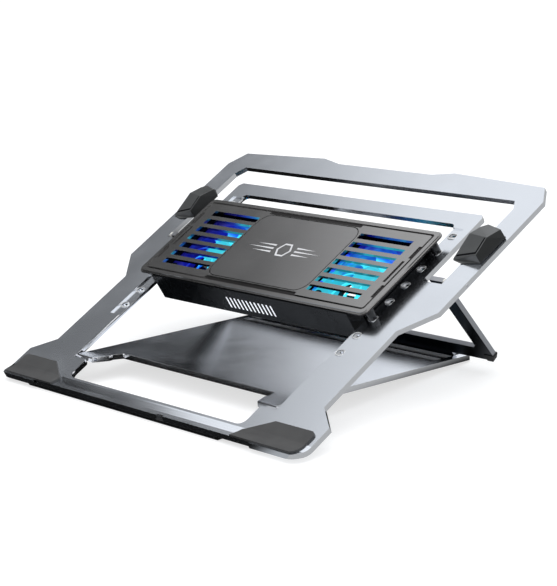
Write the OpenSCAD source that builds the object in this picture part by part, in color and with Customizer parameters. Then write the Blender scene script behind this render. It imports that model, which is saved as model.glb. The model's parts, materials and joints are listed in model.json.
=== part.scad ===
/* [Deck] */
// Overall width of the deck plate
deck_w = 280; // [276:1:286]
// Thickness of the deck plate
deck_t = 3; // [2.8:0.1:3.4]
// Angle of the deck above the table
deck_tilt = 25.4; // [24:0.1:27]
// Length of the deck from the lip to its rear shoulders
deck_l = 231.5; // [230:0.5:236]
// Half width across the slim rails behind the front ears
rail_half = 124; // [123:0.5:126]
// Half width of the opening between the rails
opening_half = 95; // [94.5:0.1:95.5]
// Angle at which the front lip is bent upwards
lip_angle = 22; // [16:1:26]

/* [Fan module] */
// Half width of the fan cover
cover_half = 103.6; // [103:0.1:104]
// Height of the cover above the deck surface
cover_top = 8.8; // [8.6:0.1:9.6]
// Depth of the tray below the deck surface
tray_drop = 10.8; // [10.4:0.1:11]
// Side of each square fan frame
fan_side = 48; // [47:0.5:48.5]
// Number of blades on each impeller
blade_n = 9; // [7:1:11]
// Number of bars in each grille
grille_n = 7; // [5:1:7]
// Number of light slits in the tray front
slit_n = 12; // [8:1:12]

/* [Base and leg] */
// Half width of the base plate
base_half = 93.5; // [92:0.5:93.5]
// Thickness of the base plate
base_t = 3.2; // [3:0.1:3.4]
// Length of the base plate behind its hinge
base_l = 147; // [146:0.5:150]
// Length of the leg from its hinge to the crossbar's foot
leg_l = 68.2; // [67.8:0.1:68.4]
// Thickness of the leg plate
leg_t = 3; // [2.6:0.1:3]
// Width of each leg arm
arm_w = 10; // [8:0.5:10]

/* [Hidden] */
$fn = 48;
eps = 0.01;

// Deck plan: x is across, y runs from the lip to the back, z is the surface normal.
half = deck_w / 2;
lip_v = 13;
lip_r = 15;
lip_straight = 5.6;
lip_trim = 1.5;
ear_v = 27.4;
waist_v = 39.6;
shoulder_v0 = 101.2;
shoulder_v1 = 120.1;
corner_v = 216.2;
corner_x = 132;
back_mid_v = 228;
opening_v0 = 14.5;
opening_step_x = 82;
opening_step_v = 30;
window_v1 = 189;
bar_v1 = 199.2;
slot_in = 109.2;
slot_out = 124.2;
slot_v0 = 141.2;
slot_v1 = 214.3;
slot_corner = 6.8;
ledge_x = 103.5;
ledge_v0 = 69.5;
ledge_v1 = 186;
ledge_depth = 1;
hole_v0 = 78.8;
hole_pitch = 14.4;
hole_n = 8;
hole_x = 99.6;
notch_x = 22;
notch_w = 6;

// Hinges: both axes lie in the middle of the deck plate.
pin_d = 2;
bore_d = 2.1;
axis_n = -deck_t / 2;
leg_v = 144.7;
base_v = 32.4;

// Rubber strip under the lip: its flat sole rests on the table.
strip_v0 = 2.4;
strip_v1 = 9.6;
strip_x0 = -112;
strip_x1 = 72;
strip_sole = 1.6;

// Rail blocks: the peak of the right one, how its two facets rise, and the left one's offset.
block_peak = [137.2, 172.8, 9.2];
front_rise = [0.261, 0.246];
rear_rise = [0.119, -0.291];
block_gap = 0.5;
block_shift = 254.3;

// Base plate: the slope is set by the rubber pads reaching the table.
pad_t = 1;
base_h = base_v * sin(deck_tilt) + axis_n * cos(deck_tilt) + strip_sole;
sole_m = base_t / 2 + pad_t;
base_drop = asin(base_h / sqrt(base_l * base_l + sole_m * sole_m)) - atan(sole_m / base_l);
groove_d = 0.8;
groove_w = 7.2;
groove_s = [119.6, 128.3, 137];
groove_half = 88;
tab_in = 78;
tab_out = base_half;
tab_s0 = -1.4;
web_s = 16.5;

// Leg: the crossbar stands in the rearmost groove with a little clearance.
leg_clear = 0.4;
leg_rise = (leg_v - base_v) * sin(deck_tilt + base_drop) - (base_t / 2 - groove_d + leg_clear);
leg_diag = sqrt(leg_l * leg_l + leg_t * leg_t / 4);
leg_angle = asin(leg_rise / leg_diag) - atan(leg_t / 2 / leg_l);
leg_turn = deck_tilt + base_drop + leg_angle;
cross_r0 = 55.5;
foot_r = 65.4;
foot_x = 87;
arm_out = 122.8;
arm_in = arm_out - arm_w;

// The object's frame: centred across, centred front to back, table at z = 0.
back_y = (deck_l * cos(deck_tilt) + deck_t * sin(deck_tilt));
lip_arc_v = lip_r * sin(lip_angle) + lip_straight * cos(lip_angle);
lip_end_v = lip_v - lip_arc_v;
lip_end_n = lip_r * (1 - cos(lip_angle)) + lip_straight * sin(lip_angle);
lip_low_v = lip_end_v - deck_t * sin(lip_angle);
lip_low_n = lip_end_n - deck_t * cos(lip_angle);
lip_y = min(lip_end_v * cos(deck_tilt) - lip_end_n * sin(deck_tilt),
            lip_low_v * cos(deck_tilt) - lip_low_n * sin(deck_tilt));
shift_y = -(back_y + lip_y) / 2;

// Fan module, in deck coordinates.
cover_v0 = 100.6;
cover_v1 = 172.8;
cover_t = 1.8;
rim_n = cover_top - cover_t;
rim_step = 0.9;
groove_in = 3.4;
groove_line = 1.3;
tray_half = 94.3;
tray_v0 = 99.9;
tray_v1 = 172.2;
tray_wall = 1.8;
tray_floor = 1.6;
floor_n = -tray_drop + tray_floor;
fan_x = 67.75;
fan_v = 136.2;
frame_h = 11;
frame_top = floor_n + frame_h;
fan_bore = 45.4;
fan_hole_half = 20.5;
intake_r = 20.5;
intake_pitch = 6;
strut_w = 2.6;
motor_seat_d = 19;
impeller_d = 44;
hub_d = 18.5;
hub_wall = 1.2;
motor_base = 1.6;
motor_d = 14.5;
bearing_d = 3.8;
shaft_d = 1.5;
grille_x0 = 46;
grille_x1 = 89.5;
grille_h = 4.6;
grille_pitch = 7.7;
panel_half = 44.6;
panel_v0 = 108.2;
panel_v1 = 165.6;
panel_t = 0.8;
panel_gap = 0.25;
slit_w = 1.3;
slit_pitch = 3.68;
slit_n0 = -7;
slit_h = 8;
slit_bar = 1.2;
screw_x = 36;
screw_v = [105.4, 166.6];
usb_x = 18;
board_n = floor_n + 1.6;
board_t = 1.4;
post_v = [hole_v0 + 2 * hole_pitch, hole_v0 + 6 * hole_pitch];
post_d = 5.2;

silver = "#c9cddb";
rubber_black = "#414143";
cover_grey = "#646262";

function arc(x, y, r, a0, a1, n = 6) =
  [for (i = [0 : n]) [x + r * cos(a0 + (a1 - a0) * i / n), y + r * sin(a0 + (a1 - a0) * i / n)]];
function both(p) = concat(p, [for (i = [len(p) - 1 : -1 : 0]) [-p[i][0], p[i][1]]]);

// Placement of each moving frame.
module on_deck() {
  translate([0, shift_y, strip_sole]) rotate([deck_tilt, 0, 0]) children();
}
module on_base() {
  on_deck() translate([0, base_v, axis_n]) rotate([-deck_tilt - base_drop, 0, 0]) children();
}
module on_leg() {
  on_deck() translate([0, leg_v, axis_n]) rotate([-leg_turn, 0, 0]) children();
}
module both_sides() {
  children();
  mirror([1, 0, 0]) children();
}
// Plate of a plan outline, between two heights.
module slab(n0, n1) {
  translate([0, 0, n0]) linear_extrude(n1 - n0) children();
}
// Round rod across the object.
module rod(x0, x1, d) {
  translate([x0, 0, 0]) rotate([0, 90, 0]) cylinder(h = x1 - x0, d = d);
}

// ---------- deck ----------
module deck_outline() {
  polygon(both(concat(
    [[0, -5], [half - 9, -5]],
    arc(half - 9, lip_low_v + 9, 9, -90, 0),
    [[half, ear_v], [rail_half + 0.4, waist_v], [rail_half, shoulder_v0], [half, shoulder_v1],
     [half, corner_v], [corner_x, back_mid_v], [58, deck_l], [41.2, back_mid_v], [0, back_mid_v]])));
}
module deck_opening() {
  polygon(both(concat(
    [[0, opening_v0]],
    arc(opening_step_x - 5, opening_v0 + 5, 5, -90, 0),
    [[opening_step_x, opening_step_v - 1.5], [opening_step_x + 1.5, opening_step_v],
     [opening_half, opening_step_v]],
    arc(opening_half - 3.5, window_v1 - 3.5, 3.5, 0, 90),
    [[0, window_v1]])));
}
module leg_slot() {
  polygon(both([
    [0, bar_v1], [slot_in - 2.4, bar_v1], [slot_in, bar_v1 - 2.4], [slot_in, slot_v0],
    [slot_out, slot_v0], [slot_out, slot_v1 - slot_corner], [slot_out - 4.2, slot_v1], [0, slot_v1]]));
}
// Cross-section of the bent lip, between two offsets from the top surface.
module lip_section(n0, n1, reach = 0) {
  s = lip_straight + reach;
  function along(a, n) = [lip_v - (lip_r - n) * sin(a), lip_r - (lip_r - n) * cos(a)];
  function tip(n) = along(lip_angle, n) + s * [-cos(lip_angle), sin(lip_angle)];
  polygon(concat(
    [[lip_v + eps, n1]], [for (i = [0 : 5]) along(lip_angle * i / 5, n1)], [tip(n1)],
    [tip(n0)], [for (i = [5 : -1 : 0]) along(lip_angle * i / 5, n0)], [[lip_v + eps, n0]]));
}
// The lip section swept across the deck.
module lip_bar(x0, x1, n0, n1, reach = 0) {
  translate([x0, 0, 0]) rotate([90, 0, 90]) linear_extrude(x1 - x0) lip_section(n0, n1, reach);
}
module ledge_hole() {
  for (i = [-1, 1]) translate([i * 0.9, 0, -deck_t - 1]) cylinder(h = deck_t + 2, d = 3.4, $fn = 24);
  translate([-0.9, -1.7, -deck_t - 1]) cube([1.8, 3.4, deck_t + 2]);
}
module deck_frame() {
  color(silver) on_deck() difference() {
    union() {
      slab(-deck_t, 0) intersection() {
        deck_outline();
        translate([-half, lip_v]) square([deck_w, deck_l]);
      }
      intersection() {
        union() {
          lip_bar(-half, -rail_half + 22, -deck_t, 0);
          lip_bar(-rail_half + 22, rail_half - 22, -deck_t, 0, -lip_trim);
          lip_bar(rail_half - 22, half, -deck_t, 0);
        }
        slab(-deck_t - 5, 10) deck_outline();
      }
    }
    slab(-deck_t - 1, 1) deck_opening();
    slab(-deck_t - 1, 1) leg_slot();
    both_sides() translate([opening_half - 1, ledge_v0, -ledge_depth])
      cube([ledge_x - opening_half + 1, ledge_v1 - ledge_v0, ledge_depth + 1]);
    both_sides() for (i = [0 : hole_n - 1])
      translate([hole_x, hole_v0 + i * hole_pitch, 0]) ledge_hole();
    both_sides() translate([0, leg_v, axis_n]) rod(slot_out - 1, half + 1, pin_d);
    both_sides() translate([0, base_v, axis_n]) rod(opening_half - 1, 112.2, pin_d);
    translate([notch_x - notch_w / 2, -4, -4]) cube([notch_w, 4 + lip_end_v + 2.6, 12]);
  }
}

// ---------- rubber on the deck ----------
module front_pad() {
  intersection() {
    union() {
      lip_bar(0, half, 0, 1.2, -1);
      slab(0, 1.2) translate([0, lip_v]) square([half, 20]);
    }
    slab(-1, 12) polygon(concat(
      [[84, -2], [86.5, 11], [103.5, 22]], arc(132.5, 18.5, 3.5, 90, 0),
      arc(130, 8, 6, 0, -60), [[128, -2]]));
  }
}
module front_pad_left() {
  color(rubber_black) on_deck() mirror([1, 0, 0]) front_pad();
}
module front_pad_right() {
  color(rubber_black) on_deck() front_pad();
}
// Faceted stop on a rear rail: one moulding for both sides, its low edge always to the left.
// The part of it beyond the rail hangs over the leg slot.
module block_outline() {
  polygon([[117, 160.6], [124.4, 157.7], [137.8, 160.9], [138.3, 172.5], [138.3, 183.6],
           [130, 189.5], [120.4, 190.5], [117.2, 187]]);
}
// Everything above a slope that passes through the block's peak.
module above_facet(rise_x, rise_v) {
  translate(block_peak) rotate([asin(rise_v / norm([rise_x, rise_v, 1])), -atan(rise_x), 0])
    translate([-50, -50, 0]) cube([100, 100, 20]);
}
module rail_block(rail_x0, rail_x1) {
  difference() {
    slab(block_gap, block_peak[2] + 0.2) block_outline();
    above_facet(front_rise[0], front_rise[1]);
    above_facet(rear_rise[0], rear_rise[1]);
  }
  slab(0, block_gap + 0.1) intersection() {
    block_outline();
    translate([rail_x0, 150]) square([rail_x1 - rail_x0, 50]);
  }
}
module rail_block_left() {
  color(rubber_black) on_deck() translate([-block_shift, 0, 0])
    rail_block(block_shift - half, block_shift - slot_out - block_gap);
}
module rail_block_right() {
  color(rubber_black) on_deck() rail_block(slot_out + block_gap, half);
}
module front_rubber_strip() {
  color("#1b1b1d") intersection() {
    on_deck() difference() {
      translate([strip_x0, strip_v0, -10]) cube([strip_x1 - strip_x0, strip_v1 - strip_v0, 16]);
      lip_bar(strip_x0 - 1, strip_x1 + 1, -deck_t, 12, 4);
    }
    translate([-half, -200, 0]) cube([deck_w, 200, 40]);
  }
}

// ---------- base plate ----------
module base_plate() {
  color("#9aa3b0") on_base() difference() {
    slab(-base_t / 2, base_t / 2) polygon(both(concat(
      [[0, web_s]], arc(tab_in - 8, web_s - 2, 2, 90, 60, 2), arc(tab_in + 1, web_s - 9, 6, 150, 180, 3),
      [[tab_in - 0.4, tab_s0], [tab_out, tab_s0], [tab_out, base_l - 3], [tab_out - 3, base_l],
       [0, base_l]])));
    for (s = groove_s) translate([-groove_half, s, base_t / 2 - groove_d])
      cube([2 * groove_half, groove_w, groove_d + 1]);
    both_sides() rod(tab_in - 2, tab_out + 1, bore_d);
  }
}
module base_rubber_pads() {
  color("#1b1b1d") intersection() {
    on_base() both_sides() translate([54, base_l - 12, -base_t / 2 - 4]) cube([32, 11, 4]);
    translate([-half, -200, 0]) cube([deck_w, 400, 40]);
  }
}
module base_pin() {
  translate([0, base_v, axis_n]) rod(tab_in + 1, 112, pin_d);
}
module base_pin_left() {
  color("#d8dae0") on_deck() mirror([1, 0, 0]) base_pin();
}
module base_pin_right() {
  color("#d8dae0") on_deck() base_pin();
}

// ---------- leg ----------
module foot_outline(grow = 0) {
  polygon([[foot_x, cross_r0 + 4], [arm_out + grow, cross_r0 + 4], [arm_out + grow, foot_r - 4.2 + grow / 2],
           [arm_out - 3.2 + grow, foot_r + grow], [foot_x, foot_r + grow]]);
}
module rear_leg() {
  color("#3a3d46") on_leg() difference() {
    slab(-leg_t / 2, leg_t / 2) polygon(both([
      [0, leg_l], [foot_x, leg_l], [foot_x, foot_r], [arm_out - 3.2, foot_r], [arm_out, foot_r - 4.2],
      [arm_out, -leg_t / 2], [arm_in, -leg_t / 2], [arm_in, cross_r0 - 2], [arm_in - 2, cross_r0],
      [0, cross_r0]]));
    both_sides() rod(arm_in - 1, arm_out + 1, bore_d);
  }
}
// Thin rubber boot over the corner of each foot.
module leg_cap() {
  difference() {
    slab(-leg_t / 2 - 0.4, leg_t / 2 + 0.4) intersection() {
      foot_outline(0.4);
      translate([115.5, 60.4]) square([20, 20]);
    }
    slab(-leg_t / 2, leg_t / 2) foot_outline();
  }
}
module leg_cap_left() {
  color("#161618") on_leg() mirror([1, 0, 0]) leg_cap();
}
module leg_cap_right() {
  color("#161618") on_leg() leg_cap();
}
module leg_pin() {
  translate([0, leg_v, axis_n]) rod(arm_in + 1.5, half + 0.1, pin_d);
}
module leg_pin_left() {
  color("#d8dae0") on_deck() mirror([1, 0, 0]) leg_pin();
}
module leg_pin_right() {
  color("#d8dae0") on_deck() leg_pin();
}
module leg_washers() {
  color("#e6e4dc") on_deck() both_sides() translate([0, leg_v, axis_n]) difference() {
    rod(arm_out + 0.15, slot_out, 3.6);
    rod(arm_out - 1, slot_out + 1, pin_d);
  }
}

// ---------- fan module shells ----------
module round_plate(x, v0, v1, r) {
  polygon(both(concat([[0, v0]], arc(x - r, v0 + r, r, -90, 0), arc(x - r, v1 - r, r, 0, 90),
                      [[0, v1]])));
}
module groove_ring(inset, w) {
  difference() {
    round_plate(cover_half - inset, cover_v0 + inset, cover_v1 - inset, 2.2);
    round_plate(cover_half - inset - w, cover_v0 + inset + w, cover_v1 - inset - w, 1.6);
  }
}
// Wider dark stretches of the perimeter groove.
module groove_patches() {
  translate([-41.5, cover_v0 + groove_in]) square([83, 3.4]);
  translate([-41.5, cover_v1 - groove_in - 3.4]) square([83, 3.4]);
  both_sides() for (v = [114, 147.8])
    translate([cover_half - groove_in - 3.2, v]) square([3.2, 10.4]);
  both_sides() translate([95, 127]) square([2, 18]);
}
module grille_slots() {
  both_sides() for (i = [0 : grille_n - 1])
    translate([(grille_x0 + grille_x1) / 2, fan_v + (i - (grille_n - 1) / 2) * grille_pitch])
      square([grille_x1 - grille_x0, grille_h], center = true);
}
module cover_pillar(v) {
  translate([screw_x, v, 0]) difference() {
    translate([0, 0, 3]) cylinder(h = rim_n - 3 + eps, d = 6);
    translate([0, 0, 2]) cylinder(h = rim_n - 2, d = 2.2, $fn = 24);
  }
}
module fan_cover() {
  color(cover_grey) on_deck() {
    difference() {
      union() {
        slab(rim_n, rim_n + rim_step) round_plate(cover_half, cover_v0, cover_v1, 4);
        slab(rim_n + rim_step, cover_top)
          round_plate(cover_half - rim_step, cover_v0 + rim_step, cover_v1 - rim_step, 3.4);
      }
      slab(cover_top - 0.7, cover_top + 1) {
        groove_ring(groove_in, groove_line);
        groove_patches();
      }
      slab(cover_top - panel_t, cover_top + 1)
        round_plate(panel_half + panel_gap, panel_v0 - panel_gap, panel_v1 + panel_gap, 9);
      slab(rim_n - 1, cover_top + 1) grille_slots();
    }
    both_sides() for (v = screw_v) cover_pillar(v);
  }
}
module badge_panel() {
  color("#7a7876") on_deck() slab(cover_top - panel_t, cover_top)
    round_plate(panel_half, panel_v0, panel_v1, 8.8);
}
// Plain geometric inlay: a hexagon ring with three tapering bars on each side.
module panel_ornament() {
  color("#e8e8ea") on_deck() slab(cover_top, cover_top + 0.15) translate([0, 138]) {
    difference() {
      circle(r = 6.4, $fn = 6);
      circle(r = 5, $fn = 6);
    }
    for (side = [0, 180], i = [-1, 0, 1]) rotate(side)
      polygon([[9.5, i * 3 + 0.7], [9.5, i * 3 - 0.7], [32 - 6 * abs(i), i * 3]]);
  }
}
module tray_outline(w = 0) {
  polygon(both([[0, tray_v0 + w], [89.3 - w * 0.5, tray_v0 + w], [tray_half - w, tray_v0 + 6 + w * 0.5],
                [tray_half - w, tray_v1 - 5 - w * 0.5], [90 - w * 0.5, tray_v1 - w], [0, tray_v1 - w]]));
}
module slit_row(v0, v1, n0, n1) {
  for (i = [0 : slit_n - 1])
    translate([(i - (slit_n - 1) / 2) * slit_pitch - slit_w / 2, v0, n0]) cube([slit_w, v1 - v0, n1 - n0]);
}
// Air intake below each fan: bars across a round field.
module intake() {
  for (i = [-3 : 3]) {
    w = 2 * sqrt(intake_r * intake_r - pow(i * intake_pitch, 2));
    translate([-w / 2, i * intake_pitch - intake_pitch / 4]) square([w, intake_pitch / 2]);
  }
}
module fan_tray() {
  color("#1d2022") on_deck() {
    difference() {
      slab(-tray_drop, rim_n) tray_outline();
      slab(floor_n, rim_n + 1) tray_outline(tray_wall);
      slit_row(tray_v0 - 1, tray_v0 + tray_wall + 1, slit_n0, slit_n0 + slit_h);
      both_sides() translate([fan_x, fan_v]) slab(-tray_drop - 1, floor_n + 1) intake();
      translate([usb_x - 4.8, tray_v1 - 3, board_n + board_t - 0.2]) cube([9.6, 5, 3.8]);
      both_sides() for (v = screw_v) translate([screw_x, v, -tray_drop - 1]) {
        cylinder(h = 2.2, d = 4.8);
        cylinder(h = 6, d = 2.8, $fn = 24);
      }
      for (side = [-1, 1], i = [-fan_hole_half, fan_hole_half])
        translate([side * fan_x + i, fan_v + i, floor_n - 1.2])
        cylinder(h = 3, d = 2.6, $fn = 24);
    }
    both_sides() for (v = screw_v) translate([screw_x, v, floor_n - 0.4]) difference() {
      cylinder(h = 3 - floor_n + 0.4, d = 6);
      translate([0, 0, -2]) cylinder(h = 20, d = 2.8, $fn = 24);
    }
    for (x = [-21, 21], v = [142, 164])
      translate([x, v, floor_n - 0.4]) cylinder(h = board_n - floor_n + 0.4, d = 4);
  }
}
module light_slits() {
  color("#f4f6ff") on_deck() {
    slit_row(tray_v0, tray_v0 + tray_wall + eps, slit_n0, slit_n0 + slit_h);
    translate([-slit_n * slit_pitch / 2, tray_v0 + tray_wall, slit_n0 - 1])
      cube([slit_n * slit_pitch, slit_bar, slit_h + 2]);
  }
}

// ---------- fans ----------
module at_fan(side) {
  on_deck() translate([side * fan_x, fan_v, 0]) children();
}
module fan_frame() {
  translate([0, 0, floor_n]) {
    linear_extrude(frame_h) difference() {
      square(fan_side, center = true);
      circle(d = fan_bore, $fn = 96);
      for (i = [-1, 1], j = [-1, 1]) translate([i, j] * fan_hole_half) circle(d = 3.2, $fn = 24);
    }
    linear_extrude(motor_base) difference() {
      union() {
        circle(d = motor_seat_d, $fn = 72);
        for (a = [0 : 120 : 240]) rotate(a + 30) translate([0, -strut_w / 2])
          square([fan_bore / 2 + 0.4, strut_w]);
      }
      circle(d = 2, $fn = 24);
    }
  }
}
module impeller() {
  hub_n0 = floor_n + 3.2;
  hub_n1 = frame_top - 0.6;
  difference() {
    translate([0, 0, hub_n0]) cylinder(h = hub_n1 - hub_n0, d = hub_d);
    translate([0, 0, hub_n0 - 1]) cylinder(h = hub_n1 - hub_n0 - hub_wall + 1, d = hub_d - 2 * hub_wall);
    translate([0, 0, hub_n1 - 4]) cylinder(h = 3.6, d = shaft_d, $fn = 24);
  }
  intersection() {
    for (i = [0 : blade_n - 1]) rotate(i * 360 / blade_n)
      translate([hub_d / 2 - 0.5, 0, (hub_n0 + hub_n1) / 2]) rotate([38, 0, 0])
        translate([0, -0.5, -6]) cube([20, 1, 12]);
    translate([0, 0, hub_n0 + 0.2]) difference() {
      cylinder(h = hub_n1 - hub_n0 - 0.4, d = impeller_d, $fn = 96);
      translate([0, 0, -1]) cylinder(h = 20, d = hub_d - 0.6);
    }
  }
}
// Stator and its coils, standing on the middle of the fan frame.
module motor() {
  n0 = floor_n + motor_base;
  n1 = frame_top - 0.6 - hub_wall - 0.8;
  difference() {
    translate([0, 0, n0]) cylinder(h = n1 - n0, d = motor_d);
    translate([0, 0, n0 - 1]) cylinder(h = n1 - n0 + 2, d = bearing_d);
    for (a = [0 : 90 : 270]) rotate(a + 45) translate([5.2, -0.6, n0 + 1]) cube([4, 1.2, n1 - n0]);
  }
}
module bearing() {
  n0 = floor_n + motor_base;
  n1 = frame_top - 0.6 - hub_wall - 0.8;
  difference() {
    translate([0, 0, n0]) cylinder(h = n1 - n0, d = bearing_d);
    translate([0, 0, n0 - 1]) cylinder(h = n1 - n0 + 2, d = shaft_d + 0.08);
  }
}
module shaft() {
  n0 = floor_n + motor_base + 0.4;
  translate([0, 0, n0]) cylinder(h = frame_top - 1.2 - n0, d = shaft_d);
}
module fan_frame_left() {
  color("#232527") at_fan(-1) fan_frame();
}
module fan_frame_right() {
  color("#232527") at_fan(1) fan_frame();
}
module impeller_left() {
  color("#2a63ff") at_fan(-1) impeller();
}
module impeller_right() {
  color("#2a63ff") at_fan(1) impeller();
}
module motor_left() {
  color("#b06a3a") at_fan(-1) motor();
}
module motor_right() {
  color("#b06a3a") at_fan(1) motor();
}
module bearing_left() {
  color("#c9a14a") at_fan(-1) bearing();
}
module bearing_right() {
  color("#c9a14a") at_fan(1) bearing();
}
module shaft_left() {
  color("#d8dae0") at_fan(-1) shaft();
}
module shaft_right() {
  color("#d8dae0") at_fan(1) shaft();
}

// ---------- electronics ----------
module led_board() {
  translate([39.4, fan_v - 18, 0]) cube([3.8, 36, 1.2]);
  for (i = [-1, 0, 1]) translate([40.4, fan_v + i * 12 - 1.4, 1.2]) cube([2, 2.8, 0.9]);
  for (i = [-1, 1]) translate([41, fan_v + i * 15, floor_n]) cylinder(h = -floor_n, d = 2.6);
}
module led_board_left() {
  color("#1e6b3c") on_deck() mirror([1, 0, 0]) led_board();
}
module led_board_right() {
  color("#1e6b3c") on_deck() led_board();
}
module control_board() {
  color("#1e6b3c") on_deck() {
    translate([-25, 139, board_n]) cube([50, 30, board_t]);
    translate([-8, 148, board_n + board_t]) cube([9, 9, 1.4]);
    for (i = [0 : 2]) translate([-20 + i * 7, 160, board_n + board_t]) cylinder(h = 4, d = 4, $fn = 24);
  }
}
module usb_socket() {
  color("#c4c8d0") on_deck() translate([usb_x - 4.5, tray_v1 - 8.6, board_n + board_t]) difference() {
    cube([9, 8.4, 3.3]);
    translate([0.5, 2.4, 0.5]) cube([8, 8, 2.3]);
  }
}

// ---------- fasteners ----------
module standoffs() {
  color("#0f1011") on_deck() both_sides()
    for (v = post_v) translate([hole_x, v, -ledge_depth]) difference() {
      cylinder(h = rim_n + ledge_depth, d = post_d);
      translate([0, 0, -1]) cylinder(h = 6.5, d = 2.5, $fn = 24);
    }
}
module module_screws() {
  color("#d8dae0") on_deck() both_sides() for (v = post_v) translate([hole_x, v, -deck_t - 1.6]) {
    cylinder(h = 1.6, d = 5.6);
    cylinder(h = 8, d = 2.5, $fn = 24);
  }
}
module cover_screws() {
  color("#8a8c90") on_deck() both_sides() for (v = screw_v) translate([screw_x, v, -tray_drop]) {
    cylinder(h = 1.2, d = 4.4);
    cylinder(h = 16.4, d = 2.2, $fn = 24);
  }
}
module fan_screws() {
  color("#8a8c90") on_deck() for (side = [-1, 1], i = [-1, 1])
    translate([side * fan_x + i * fan_hole_half, fan_v + i * fan_hole_half, floor_n - 1.1]) {
      cylinder(h = frame_h + 1.1, d = 2.6, $fn = 24);
      translate([0, 0, frame_h + 1.1]) cylinder(h = 1.2, d = 5);
    }
}

deck_frame();
front_pad_left();
front_pad_right();
rail_block_left();
rail_block_right();
front_rubber_strip();
base_plate();
base_rubber_pads();
base_pin_left();
base_pin_right();
rear_leg();
leg_cap_left();
leg_cap_right();
leg_pin_left();
leg_pin_right();
leg_washers();
fan_cover();
badge_panel();
panel_ornament();
fan_tray();
light_slits();
fan_frame_left();
fan_frame_right();
impeller_left();
impeller_right();
motor_left();
motor_right();
bearing_left();
bearing_right();
shaft_left();
shaft_right();
led_board_left();
led_board_right();
control_board();
usb_socket();
standoffs();
module_screws();
cover_screws();
fan_screws();
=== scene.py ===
"""Looks of a folding laptop cooling pad: an aluminium deck, its base and leg, and a lit fan module."""

import json
import math

import bmesh
import bpy
from mathutils import Matrix, Quaternion, Vector


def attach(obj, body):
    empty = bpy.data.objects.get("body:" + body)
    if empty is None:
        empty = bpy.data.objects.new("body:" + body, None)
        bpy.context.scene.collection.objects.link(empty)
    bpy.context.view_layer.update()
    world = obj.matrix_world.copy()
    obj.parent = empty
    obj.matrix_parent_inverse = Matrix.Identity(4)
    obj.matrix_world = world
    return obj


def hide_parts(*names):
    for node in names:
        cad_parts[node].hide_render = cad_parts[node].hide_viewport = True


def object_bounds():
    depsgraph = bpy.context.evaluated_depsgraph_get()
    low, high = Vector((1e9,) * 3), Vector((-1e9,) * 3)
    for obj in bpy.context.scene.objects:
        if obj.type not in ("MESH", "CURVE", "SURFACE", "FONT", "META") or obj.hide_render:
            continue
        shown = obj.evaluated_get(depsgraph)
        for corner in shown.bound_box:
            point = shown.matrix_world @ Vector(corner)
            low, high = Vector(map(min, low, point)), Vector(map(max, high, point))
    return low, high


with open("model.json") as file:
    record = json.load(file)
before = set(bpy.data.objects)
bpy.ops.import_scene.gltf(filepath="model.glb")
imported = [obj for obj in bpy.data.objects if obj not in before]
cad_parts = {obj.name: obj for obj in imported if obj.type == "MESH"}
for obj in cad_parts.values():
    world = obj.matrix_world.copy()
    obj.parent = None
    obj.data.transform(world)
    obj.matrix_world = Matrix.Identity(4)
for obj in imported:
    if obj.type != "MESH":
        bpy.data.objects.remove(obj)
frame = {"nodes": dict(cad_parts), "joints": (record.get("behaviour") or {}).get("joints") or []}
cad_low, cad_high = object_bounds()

# ---------------------------------------------------------------------------
# Studio. A seamless pale sweep under a bright white tent. One side of the tent
# is closed by a soft black flag, so that flat metal shades from dark to light.
# ---------------------------------------------------------------------------
mm = 0.001


def add(tree, kind, sockets=(), **settings):
    """A new node; its sockets are set to values, or linked where a socket is given."""
    node = tree.nodes.new(kind)
    for key, value in settings.items():
        setattr(node, key, value)
    for key, value in dict(sockets).items():
        if isinstance(value, bpy.types.NodeSocket):
            tree.links.new(value, node.inputs[key])
        else:
            node.inputs[key].default_value = value
    return node


def sum_of(tree, a, b, operation="ADD"):
    return add(tree, "ShaderNodeMath", {0: a, 1: b}, operation=operation).outputs[0]


def spread(tree, value, low, high, to_low, to_high, smooth=False):
    """Value's range low to high, spread over to_low to to_high."""
    node = add(
        tree, "ShaderNodeMapRange",
        {"Value": value, "From Min": low, "From Max": high, "To Min": to_low, "To Max": to_high},
        interpolation_type="SMOOTHSTEP" if smooth else "LINEAR",
    )
    return node.outputs["Result"]


def tent_light():
    """The tent as a world: white to the camera, graded where metal mirrors it, and strongest overhead."""
    world = bpy.data.worlds.new("light_tent")
    bpy.context.scene.world = world
    world.use_nodes = True
    tree = world.node_tree
    tree.nodes.clear()
    direction = add(tree, "ShaderNodeTexCoord").outputs["Generated"]
    split = add(tree, "ShaderNodeSeparateXYZ", {0: direction})
    beside_flag = spread(tree, split.outputs["X"], -0.765, -0.725, 0.0, 1.0, smooth=True)
    flag_sheen = spread(tree, split.outputs["Z"], 0.20, 0.60, 0.002, 0.14, smooth=True)
    mirrored = add(
        tree, "ShaderNodeMix", {"Factor": beside_flag, "A": flag_sheen, "B": 1.0}, data_type="FLOAT"
    ).outputs["Result"]
    soft = spread(tree, split.outputs["Z"], 0.0, 0.9, 0.20, 1.25)
    seen = add(tree, "ShaderNodeLightPath").outputs
    strength = add(
        tree, "ShaderNodeMix", {"Factor": seen["Is Diffuse Ray"], "A": mirrored, "B": soft},
        data_type="FLOAT",
    ).outputs["Result"]
    tent = add(tree, "ShaderNodeBackground", {"Color": (0.965, 0.98, 1.0, 1), "Strength": strength})
    backdrop = add(tree, "ShaderNodeBackground", {"Color": (1, 1, 1, 1), "Strength": 1.0})
    mixed = add(tree, "ShaderNodeMixShader",
                {0: seen["Is Camera Ray"], 1: tent.outputs[0], 2: backdrop.outputs[0]})
    add(tree, "ShaderNodeOutputWorld", {"Surface": mixed.outputs[0]})


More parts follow.
